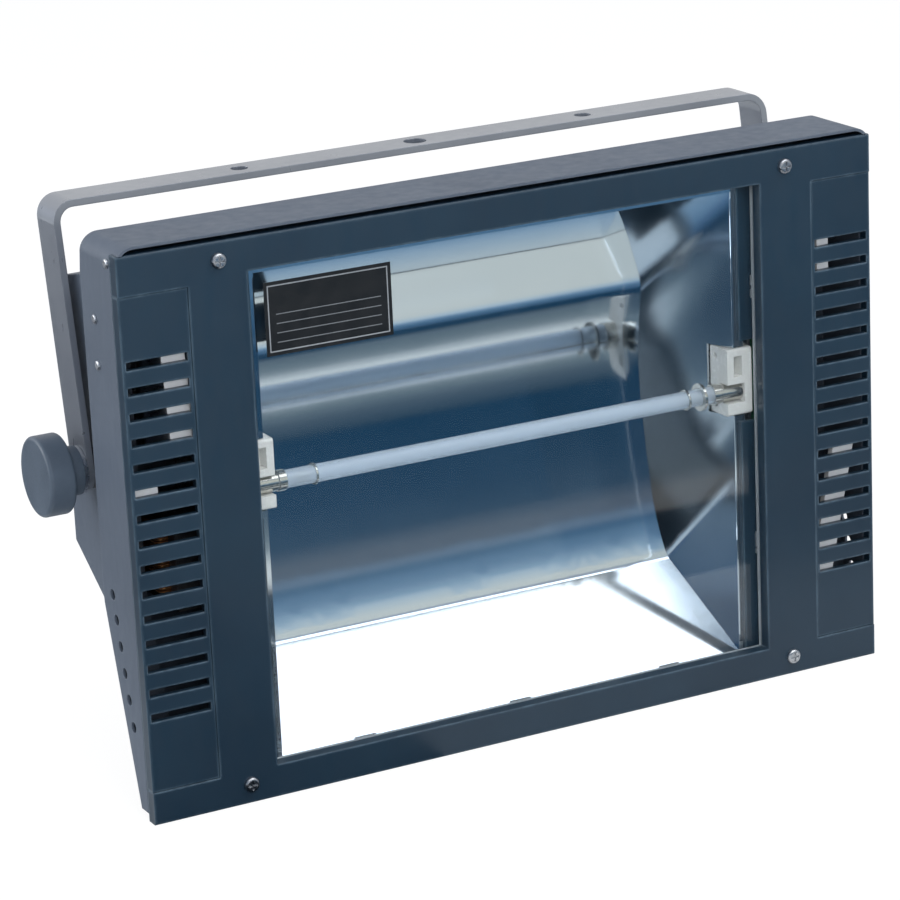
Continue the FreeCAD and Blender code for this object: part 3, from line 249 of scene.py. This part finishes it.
mirrorFinish = {"light": (0.8, 0.85, 0.9), "dark": (0.74, 0.8, 0.86), "rough": (0.05, 0.1), "metal": 1,
                "rolled": 220, "rolledStretch": (0.015, 1, 1), "haze": 18, "hazeStretch": (0.4, 1, 1),
                "bump": 0.02, "depth": 0.0002}


def mirrorSheet(name, finish):
    # bright rolled sheet: faint rolling lines run along the trough, under a thin haze
    material, tree, shader = startMaterial(name, finish)
    rolled = surfaceNoise(tree, finish["rolled"], 4, finish["rolledStretch"])
    haze = surfaceNoise(tree, finish["haze"], 3, finish["hazeStretch"], 300)
    tint = ramped(tree, haze, [(0.3, finish["dark"]), (0.7, finish["light"])])
    tree.links.new(tint, shader.inputs["Base Color"])
    tree.links.new(ranged(tree, haze, *finish["rough"]), shader.inputs["Roughness"])
    raised(tree, shader, rolled, finish["bump"], finish["depth"])
    return material


# plastics, ceramic and the rest

dullFinishes = {
    "knob_plastic": {"light": (0.095, 0.125, 0.165), "dark": (0.07, 0.095, 0.13), "rough": (0.34, 0.46),
                     "scale": 1500, "bump": 0.2, "edge": 0.0007},
    "rubber": {"light": (0.03, 0.032, 0.036), "dark": (0.018, 0.019, 0.022), "rough": (0.6, 0.78),
               "scale": 900, "bump": 0.2, "edge": 0.0005},
    "fibre": {"light": (0.1, 0.1, 0.11), "dark": (0.05, 0.05, 0.055), "rough": (0.6, 0.8),
              "scale": 1800, "bump": 0.3, "edge": 0.0003},
    "paleSilicone": {"light": (0.5, 0.54, 0.58), "dark": (0.4, 0.44, 0.48), "rough": (0.45, 0.6),
                     "scale": 900, "bump": 0.15, "edge": 0.0003},
    "insulation": {"light": (0.88, 0.89, 0.9), "dark": (0.78, 0.79, 0.8), "rough": (0.5, 0.7),
                   "scale": 2200, "bump": 0.3, "edge": 0.0002},
    "ceramic": {"light": (0.93, 0.93, 0.91), "dark": (0.86, 0.86, 0.83), "rough": (0.18, 0.3),
                "scale": 500, "bump": 0.08, "edge": 0.0006, "coat": 0.5},
    "black_plastic": {"light": (0.035, 0.035, 0.038), "dark": (0.02, 0.02, 0.022), "rough": (0.36, 0.5),
                      "scale": 1600, "bump": 0.2, "edge": 0.0004},
    "dial_plastic": {"light": (0.72, 0.71, 0.66), "dark": (0.62, 0.61, 0.57), "rough": (0.35, 0.5),
                     "scale": 900, "bump": 0.12, "edge": 0.0003},
    "components": {"light": (0.1, 0.1, 0.13), "dark": (0.05, 0.05, 0.07), "rough": (0.3, 0.45),
                   "scale": 700, "bump": 0.12, "edge": 0.0004},
}


dullPattern = {"cloud": 60, "grainDepth": 0.0002}


def mouldedPart(name, finish):
    # matt grain over a slow change of shade
    material, tree, shader = startMaterial(name, finish)
    cloud = surfaceNoise(tree, dullPattern["cloud"], 4)
    colour = ramped(tree, cloud, [(0.3, finish["dark"]), (0.7, finish["light"])])
    tree.links.new(colour, shader.inputs["Base Color"])
    grain = surfaceNoise(tree, finish["scale"], 3, y=-400)
    tree.links.new(ranged(tree, grain, *finish["rough"]), shader.inputs["Roughness"])
    raised(tree, shader, grain, finish["bump"], dullPattern["grainDepth"], finish["edge"])
    return material


wireFinish = {"light": (0.62, 0.27, 0.11), "rough": (0.25, 0.4), "metal": 0.9, "turns": 160, "uneven": 0.4,
              "shades": [(0.0, (0.2, 0.07, 0.025)), (0.5, (0.55, 0.23, 0.09)), (1.0, (0.72, 0.36, 0.16))],
              "gapRough": 0.45, "topRough": 0.25, "bump": 0.6, "depth": 0.0004}


def windingWire(name, finish):
    # enamelled turns side by side, round the coil
    material, tree, shader = startMaterial(name, finish)
    place = addNode(tree, "ShaderNodeTexCoord", -1100, 0)
    turns = addNode(tree, "ShaderNodeTexWave", -850, 0)
    turns.bands_direction = "Z"
    turns.inputs["Scale"].default_value = finish["turns"]
    turns.inputs["Distortion"].default_value = finish["uneven"]
    tree.links.new(place.outputs["Object"], turns.inputs["Vector"])
    across = turns.outputs["Fac"]
    tree.links.new(ramped(tree, across, finish["shades"]), shader.inputs["Base Color"])
    rough = ranged(tree, across, finish["gapRough"], finish["topRough"], 0, 1)
    tree.links.new(rough, shader.inputs["Roughness"])
    raised(tree, shader, across, finish["bump"], finish["depth"])
    return material


boardFinish = {"light": (0.04, 0.2, 0.09), "rough": (0.25, 0.4), "tracks": 90, "gap": 0.08,
               "shades": {"Color1": (0.02, 0.14, 0.06), "Color2": (0.03, 0.2, 0.09), "Mortar": (0.05, 0.3, 0.14)},
               "bump": 0.2, "depth": 0.0001}


def circuitBoard(name, finish):
    # green lacquer over a plain net of tracks
    material, tree, shader = startMaterial(name, finish)
    place = addNode(tree, "ShaderNodeTexCoord", -1100, 0)
    tracks = addNode(tree, "ShaderNodeTexBrick", -850, 0)
    tracks.inputs["Scale"].default_value = finish["tracks"]
    tracks.inputs["Mortar Size"].default_value = finish["gap"]
    for socket, shade in finish["shades"].items():
        tracks.inputs[socket].default_value = (*shade, 1)
    tree.links.new(place.outputs["Object"], tracks.inputs["Vector"])
    tree.links.new(tracks.outputs["Color"], shader.inputs["Base Color"])
    raised(tree, shader, tracks.outputs["Fac"], finish["bump"], finish["depth"])
    return material


glassFinishes = {
    "glass": {"light": (0.95, 0.98, 0.99), "rough": (0.0, 0.02), "bend": 1.47, "clear": 1.0},
    "tubeGlass": {"light": (0.78, 0.87, 0.96), "rough": (0.0, 0.04), "bend": 1.46, "clear": 0.72},
}
smear = {"scale": 30, "band": (0.45, 0.8)}  # faint smears on both glasses


def clearGlass(name, finish):
    # lamps and shadows pass straight through; sight and reflections are real glass
    material, tree, shader = startMaterial(name, finish)
    shader.inputs["Transmission Weight"].default_value = finish["clear"]
    smears = surfaceNoise(tree, smear["scale"], 4)
    tree.links.new(ranged(tree, smears, *finish["rough"], *smear["band"]), shader.inputs["Roughness"])
    through = addNode(tree, "ShaderNodeBsdfTransparent", 50, -300)
    path = addNode(tree, "ShaderNodeLightPath", 50, 300)
    pick = addNode(tree, "ShaderNodeMixShader", 350, 0)
    tree.links.new(path.outputs["Is Shadow Ray"], pick.inputs["Fac"])
    tree.links.new(shader.outputs["BSDF"], pick.inputs[1])
    tree.links.new(through.outputs["BSDF"], pick.inputs[2])
    tree.links.new(pick.outputs["Shader"], tree.nodes["Material Output"].inputs["Surface"])
    return material


labelPrint = {
    "light": (0.013, 0.014, 0.016), "dark": (0.01, 0.011, 0.012), "rough": (0.3, 0.45), "cloud": 120,
    "line": (0.3, 0.32, 0.34),
    "margin": 0.0021,      # border line, from the film's edge
    "pen": 0.00032,        # half the border line's width
    "rulePen": 0.8,        # ruled lines against the border
    "ruleStep": 0.0047,
    "ruleSide": 0.006,
    "ruleInset": 0.0012,   # from the border line
    "ruleTop": 0.42,       # share of the height left bare above the ruled lines
    "ruleShade": 0.55,
}


def mathStep(tree, kind, first, second=None, third=None):
    # first, second and third are sockets or numbers
    node = addNode(tree, "ShaderNodeMath", -600)
    node.operation = kind
    for socket, value in zip(node.inputs, (first, second, third)):
        if value is None:
            continue
        if isinstance(value, (int, float)):
            socket.default_value = value
        else:
            tree.links.new(value, socket)
    return node.outputs[0]


def labelFilm(name, corners, finish):
    # black film with a thin pale border and a few blank ruled lines below it
    low, high = corners
    material, tree, shader = startMaterial(name, finish)
    cloud = surfaceNoise(tree, finish["cloud"], 3)
    film = ramped(tree, cloud, [(0.3, finish["dark"]), (0.7, finish["light"])])
    place = addNode(tree, "ShaderNodeTexCoord", -1500, 900)
    parts = addNode(tree, "ShaderNodeSeparateXYZ", -1300, 900)
    tree.links.new(place.outputs["Object"], parts.inputs[0])
    fromEdge = []
    for axis in (0, 2):
        middle = (low[axis] + high[axis]) / 2
        half = (high[axis] - low[axis]) / 2
        off = mathStep(tree, "SUBTRACT", parts.outputs[axis], middle)
        fromEdge.append(mathStep(tree, "SUBTRACT", half, mathStep(tree, "ABSOLUTE", off)))
    nearest = mathStep(tree, "MINIMUM", *fromEdge)
    border = mathStep(tree, "COMPARE", nearest, finish["margin"], finish["pen"])
    down = mathStep(tree, "DIVIDE", mathStep(tree, "SUBTRACT", high[2], parts.outputs[2]), finish["ruleStep"])
    step = mathStep(tree, "FRACT", down)
    rule = mathStep(tree, "COMPARE", step, 0.5, finish["pen"] * finish["rulePen"] / finish["ruleStep"])
    ruleTop = high[2] - (high[2] - low[2]) * finish["ruleTop"]
    lower = mathStep(tree, "LESS_THAN", parts.outputs[2], ruleTop)
    inside = mathStep(tree, "GREATER_THAN", nearest, finish["margin"] + finish["ruleInset"])
    clear = mathStep(tree, "GREATER_THAN", fromEdge[0], finish["ruleSide"])
    rules = mathStep(tree, "MULTIPLY", mathStep(tree, "MULTIPLY", rule, lower),
                     mathStep(tree, "MULTIPLY", inside, clear))
    drawn = mathStep(tree, "MAXIMUM", border, mathStep(tree, "MULTIPLY", rules, finish["ruleShade"]))
    tree.links.new(blended(tree, drawn, film, finish["line"]), shader.inputs["Base Color"])
    tree.links.new(ranged(tree, cloud, *finish["rough"]), shader.inputs["Roughness"])
    return material


lensFinish = {"light": (0.6, 0.03, 0.02), "rough": (0.12, 0.2), "coat": 0.4, "ribs": 900,
              "shades": [(0.3, (0.45, 0.015, 0.01)), (0.7, (0.68, 0.04, 0.03))], "bump": 0.15, "depth": 0.0002}


def redLens(name, finish):
    material, tree, shader = startMaterial(name, finish)
    ribs = surfaceNoise(tree, finish["ribs"], 2)
    tree.links.new(ramped(tree, ribs, finish["shades"]), shader.inputs["Base Color"])
    raised(tree, shader, ribs, finish["bump"], finish["depth"])
    return material


print("stage: finishes")
finishes = {}
for name, finish in paintFinishes.items():
    finishes[name] = paintedSheet(name, finish)
for name, finish in metalFinishes.items():
    finishes[name] = machinedMetal(name, finish)
for name, finish in dullFinishes.items():
    finishes[name] = mouldedPart(name, finish)
finishes["mirror"] = mirrorSheet("mirror", mirrorFinish)
finishes["copper"] = windingWire("copper", wireFinish)
finishes["board"] = circuitBoard("board", boardFinish)
for name, finish in glassFinishes.items():
    finishes[name] = clearGlass(name, finish)
finishes["label_film"] = labelFilm("label_film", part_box("glass_label"), labelPrint)
finishes["red_lens"] = redLens("red_lens", lensFinish)

slotOf = {}
for entry in frame["record"]["subparts"]:
    slotOf[entry["node"]] = entry["material_slot"]
slotOf["flash_tube"] = "tubeGlass"        # hazier than the front pane
slotOf["glass_gasket"] = "paleSilicone"
for name, node in nodes.items():
    for place in range(len(node.material_slots)):
        node.material_slots[place].material = finishes[slotOf[name]]

# white tabs just behind the louvres: painted light showing through the slots

leakTabs = {
    "sheet": 0.0008,      # thickness
    "foldBack": 0.003,
    "foldWidth": 0.0009,
    "front": -0.0967,     # y of the tab's face
    "softEdge": 0.00015,
    # middle x, middle z, width, height, lean in degrees
    "places": [(-0.1834, -0.0835, 0.0125, 0.05, 3), (-0.2032, -0.1291, 0.0125, 0.009, 0),
               (0.1901, -0.209, 0.0125, 0.072, -11.8), (0.1858, -0.07, 0.007, 0.024, 0)],
}


def pickFaces(thing, wanted):
    # goes to edit mode with only the wanted faces selected
    bpy.ops.object.mode_set(mode="EDIT")
    bpy.ops.mesh.select_mode(type="FACE")
    bpy.ops.mesh.select_all(action="DESELECT")
    bpy.ops.object.mode_set(mode="OBJECT")
    for face in thing.data.polygons:
        face.select = wanted(face)
    bpy.ops.object.mode_set(mode="EDIT")


def leakLightTab(middleX, middleZ, width, height, lean):
    pickNothing()
    middle = (middleX, leakTabs["front"] + leakTabs["sheet"] / 2, middleZ)
    bpy.ops.mesh.primitive_cube_add(size=1, location=middle, scale=(width, leakTabs["sheet"], height))
    tab = bpy.context.object
    bpy.ops.object.transform_apply(location=True, rotation=True, scale=True)
    inward = -1 if middleX > 0 else 1
    foldX = middleX + inward * (width / 2 - leakTabs["foldWidth"])
    bpy.ops.object.mode_set(mode="EDIT")
    bpy.ops.mesh.select_all(action="SELECT")
    bpy.ops.mesh.bisect(plane_co=(foldX, 0, 0), plane_no=(1, 0, 0))
    facingRear = 0.9  # least y of a rear face's normal
    pickFaces(tab, lambda face: face.normal.y > facingRear and (face.center.x - foldX) * inward > 0)
    bpy.ops.mesh.extrude_region_move(TRANSFORM_OT_translate={"value": (0, leakTabs["foldBack"], 0)})
    bpy.ops.mesh.select_all(action="SELECT")
    bpy.ops.transform.rotate(value=math.radians(lean), orient_axis="Y", center_override=middle)
    bpy.ops.mesh.normals_make_consistent(inside=False)
    bpy.ops.object.mode_set(mode="OBJECT")
    softened = tab.modifiers.new("edges", "BEVEL")
    softened.width = leakTabs["softEdge"]
    softened.segments = 2
    bpy.ops.object.modifier_apply(modifier=softened.name)
    return tab


print("stage: vent tabs")
made = [leakLightTab(*place) for place in leakTabs["places"]]
pickNothing()
for tab in made:
    tab.select_set(True)
bpy.context.view_layer.objects.active = made[0]
bpy.ops.object.join()
leakLightTabs = bpy.context.object
leakLightTabs.name = "leakLightTabs"
# their white paints the light showing through the slots
leakLightTabs.data.materials.append(finishes["insulation"])
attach(leakLightTabs, "head")

# stage

print("stage: room")
studio = {
    "floorTone": (0.8, 0.8, 0.78), "floorRough": 0.9, "floorShine": 0.1, "floorSize": 60,
    "floorWhite": 0.82,    # share of white that the camera sees; the rest keeps the shadow
    "floorGlow": 1.11,
    "roomTone": (0.8, 0.88, 1.0), "roomLevel": 0.55,
}
lamps = {
    "overhead": {"spot": (0.5, -0.9, 1.6), "size": (2.4, 1.2), "power": 20, "glossy": True},
    "leftFill": {"spot": (-1.9, 1.1, 0.5), "size": (1.4, 1.4), "power": 24, "glossy": True},
    "frontFill": {"spot": (-0.9, -2.4, 0.9), "size": (1.2, 1.2), "power": 19, "glossy": False},
}
lampAim = (0, 0, -0.15)

# painted reflections: glowing cards round the set that only bright metal and glass see
# axis: the direction that the tones run in; tones: (distance along it, colour)
justOverFloor = -0.2955
paintedReflectionCards = {
    "frontCard": {
        "corners": [(-0.05, -0.62, -0.296), (1.2, -0.62, -0.296), (-0.05, -0.62, 0.25), (1.2, -0.62, 0.25)],
        "axis": (0, 0, 1),
        "tones": [(-0.25, (0.012, 0.05, 0.1)), (-0.23, (0.02, 0.06, 0.115)), (-0.21, (0.05, 0.12, 0.21)),
                  (-0.17, (0.09, 0.18, 0.29)), (-0.13, (0.17, 0.28, 0.41)), (-0.1, (0.33, 0.46, 0.58)),
                  (-0.08, (0.5, 0.6, 0.68)), (0.0, (0.74, 0.75, 0.71))]},
    "floorCard": {
        "corners": [(-0.05, -0.62, justOverFloor), (1.2, -0.62, justOverFloor),
                    (-0.05, -0.25, justOverFloor), (1.2, -0.25, justOverFloor)],
        "axis": (0, 1, 0),
        "tones": [(-0.62, (0.025, 0.06, 0.1)), (-0.5, (0.09, 0.13, 0.17)), (-0.43, (0.2, 0.25, 0.28)),
                  (-0.41, (0.6, 0.63, 0.64)), (-0.4, (0.8, 0.81, 0.8)), (-0.37, (0.8, 0.8, 0.79)),
                  (-0.36, (0.05, 0.07, 0.09)), (-0.25, (0.02, 0.04, 0.06))]},
    "leftFloorCard": {
        "corners": [(-1.3, -0.62, justOverFloor), (-0.051, -0.62, justOverFloor),
                    (-1.3, -0.1, justOverFloor), (-0.051, -0.1, justOverFloor)],
        "axis": (0, 1, 0),
        "tones": [(-0.62, (0.002, 0.007, 0.012)), (-0.1, (0.003, 0.008, 0.014))]},
    "leftRearCard": {
        "corners": [(-1.3, -0.1, justOverFloor), (-0.3, -0.1, justOverFloor),
                    (-1.3, 1.3, justOverFloor), (-0.3, 1.3, justOverFloor)],
        "axis": (0, 1, 0),
        "tones": [(-0.1, (0.05, 0.06, 0.08)), (1.3, (0.07, 0.08, 0.1))]},
    "leftCard": {
        "corners": [(-1.3, -1.2, -0.296), (-1.3, 0.0, -0.296), (-1.3, -1.2, 0.5), (-1.3, 0.0, 0.5)],
        "axis": (0, 0, 1),
        "tones": [(-0.27, (0.1, 0.12, 0.15)), (-0.2, (0.7, 0.76, 0.8)), (-0.06, (0.8, 0.85, 0.88)),
                  (0.0, (0.04, 0.1, 0.18)), (0.5, (0.02, 0.07, 0.14))]},
    "rearCard": {
        "corners": [(-0.8, 1.6, -0.1), (2.4, 1.6, -0.1), (-0.8, 1.6, 1.3), (2.4, 1.6, 1.3)],
        "axis": (0, 0, 1),
        "tones": [(-0.1, (0.75, 0.75, 0.75)), (1.3, (0.8, 0.8, 0.8))]},
    "endCard": {
        "corners": [(0.02, -0.4262, 0.25), (0.09, -0.6579, 0.25), (0.02, -0.3112, 0.25), (0.09, -0.5429, 0.25)],
        "axis": (3.31, 1, 0),
        "tones": [(-0.36, (0.03, 0.08, 0.15)), (-0.29, (0.05, 0.11, 0.19)), (-0.27, (0.12, 0.18, 0.26)),
                  (-0.256, (0.4, 0.46, 0.52)), (-0.248, (0.9, 0.88, 0.88)), (-0.245, (1, 1, 1))]},
}


def paleFloor(name):
    # the camera sees mostly plain white, and everything else sees pale paint
    material = bpy.data.materials.new(name)
    material.use_nodes = True
    tree = material.node_tree
    shader = tree.nodes["Principled BSDF"]
    shader.inputs["Base Color"].default_value = (*studio["floorTone"], 1)
    shader.inputs["Roughness"].default_value = studio["floorRough"]
    shader.inputs["Specular IOR Level"].default_value = studio["floorShine"]
    white = addNode(tree, "ShaderNodeEmission", 0, -300)
    white.inputs["Strength"].default_value = studio["floorGlow"]
    path = addNode(tree, "ShaderNodeLightPath", 0, 300)
    share = addNode(tree, "ShaderNodeMath", 150, 300)
    share.operation = "MULTIPLY"
    share.inputs[1].default_value = studio["floorWhite"]
    pick = addNode(tree, "ShaderNodeMixShader", 350, 0)
    tree.links.new(path.outputs["Is Camera Ray"], share.inputs[0])
    tree.links.new(share.outputs[0], pick.inputs["Fac"])
    tree.links.new(shader.outputs["BSDF"], pick.inputs[1])
    tree.links.new(white.outputs["Emission"], pick.inputs[2])
    tree.links.new(pick.outputs["Shader"], tree.nodes["Material Output"].inputs["Surface"])
    return material


pickNothing()
bpy.ops.mesh.primitive_plane_add(size=studio["floorSize"], location=(0, 0, cadBox[0][2]))
floor = bpy.context.object
floor.name = "floor"
floor.data.materials.append(paleFloor("floorWhite"))


# a glowing sheet hidden from the camera, diffuse light and shadows; it only paints reflections in metal and glass
def paintedReflectionCard(name, card):
    pickNothing()
    bpy.ops.mesh.primitive_plane_add(size=1)
    sheet = bpy.context.object
    sheet.name = name
    for vertex, corner in zip(sheet.data.vertices, card["corners"]):
        vertex.co = corner
    material = bpy.data.materials.new(name)
    material.use_nodes = True
    tree = material.node_tree
    tree.nodes.remove(tree.nodes["Principled BSDF"])
    place = addNode(tree, "ShaderNodeTexCoord", -1100, 0)
    across = addNode(tree, "ShaderNodeVectorMath", -900, 0)
    across.operation = "DOT_PRODUCT"
    across.inputs[1].default_value = card["axis"]
    tree.links.new(place.outputs["Object"], across.inputs[0])
    start, end = card["tones"][0][0], card["tones"][-1][0]
    along = ranged(tree, across.outputs["Value"], 0, 1, start, end, -700, 0)
    stops = [((spot - start) / (end - start), tone) for spot, tone in card["tones"]]
    glow = addNode(tree, "ShaderNodeEmission", -200, 0)
    tree.links.new(ramped(tree, along, stops, -450), glow.inputs["Color"])
    tree.links.new(glow.outputs["Emission"], tree.nodes["Material Output"].inputs["Surface"])
    sheet.data.materials.append(material)
    sheet.visible_camera = False
    sheet.visible_diffuse = False
    sheet.visible_shadow = False


for name, card in paintedReflectionCards.items():
    paintedReflectionCard(name, card)

world = bpy.data.worlds.new("room")
bpy.context.scene.world = world
world.use_nodes = True
air = world.node_tree
sky = air.nodes["Background"]
sky.inputs["Color"].default_value = (*studio["roomTone"], 1)
sky.inputs["Strength"].default_value = studio["roomLevel"]
white = addNode(air, "ShaderNodeBackground", 0, -200)
white.inputs["Color"].default_value = (1, 1, 1, 1)
path = addNode(air, "ShaderNodeLightPath", 0, 300)
pick = addNode(air, "ShaderNodeMixShader", 300, 0)
air.links.new(path.outputs["Is Camera Ray"], pick.inputs["Fac"])
air.links.new(sky.outputs["Background"], pick.inputs[1])
air.links.new(white.outputs["Background"], pick.inputs[2])
air.links.new(pick.outputs["Shader"], air.nodes["World Output"].inputs["Surface"])


def softBox(name, lamp):
    pickNothing()
    bpy.ops.object.light_add(type="AREA", location=lamp["spot"])
    light = bpy.context.object
    light.name = name
    light.data.shape = "RECTANGLE"
    light.data.size, light.data.size_y = lamp["size"]
    light.data.energy = lamp["power"]
    light.rotation_euler = (Vector(lampAim) - Vector(lamp["spot"])).to_track_quat("-Z", "Y").to_euler()
    light.visible_glossy = lamp["glossy"]


for name, lamp in lamps.items():
    softBox(name, lamp)

# camera

print("stage: camera")
view = {"spot": (-0.85415, -1.66687, 0.40099), "turn": 27.463, "drop": 16.881, "roll": 2.633,
        "lens": 148, "film": 36, "nearest": 0.05}
turn, drop, roll = (math.radians(view[key]) for key in ("turn", "drop", "roll"))
ahead = Vector((math.sin(turn) * math.cos(drop), math.cos(turn) * math.cos(drop), -math.sin(drop)))
level = Vector((math.cos(turn), -math.sin(turn), 0))
upward = level.cross(ahead)
sideAxis = level * math.cos(roll) - upward * math.sin(roll)
topAxis = level * math.sin(roll) + upward * math.cos(roll)
pickNothing()
bpy.ops.object.camera_add(location=view["spot"])
camera = bpy.context.object
camera.data.lens = view["lens"]
camera.data.sensor_width = view["film"]
camera.data.clip_start = view["nearest"]
aimed = Matrix((sideAxis, topAxis, -ahead)).transposed().to_4x4()
camera.matrix_world = Matrix.Translation(view["spot"]) @ aimed
bpy.context.scene.camera = camera

scene = bpy.context.scene
scene.view_settings.view_transform = "Standard"
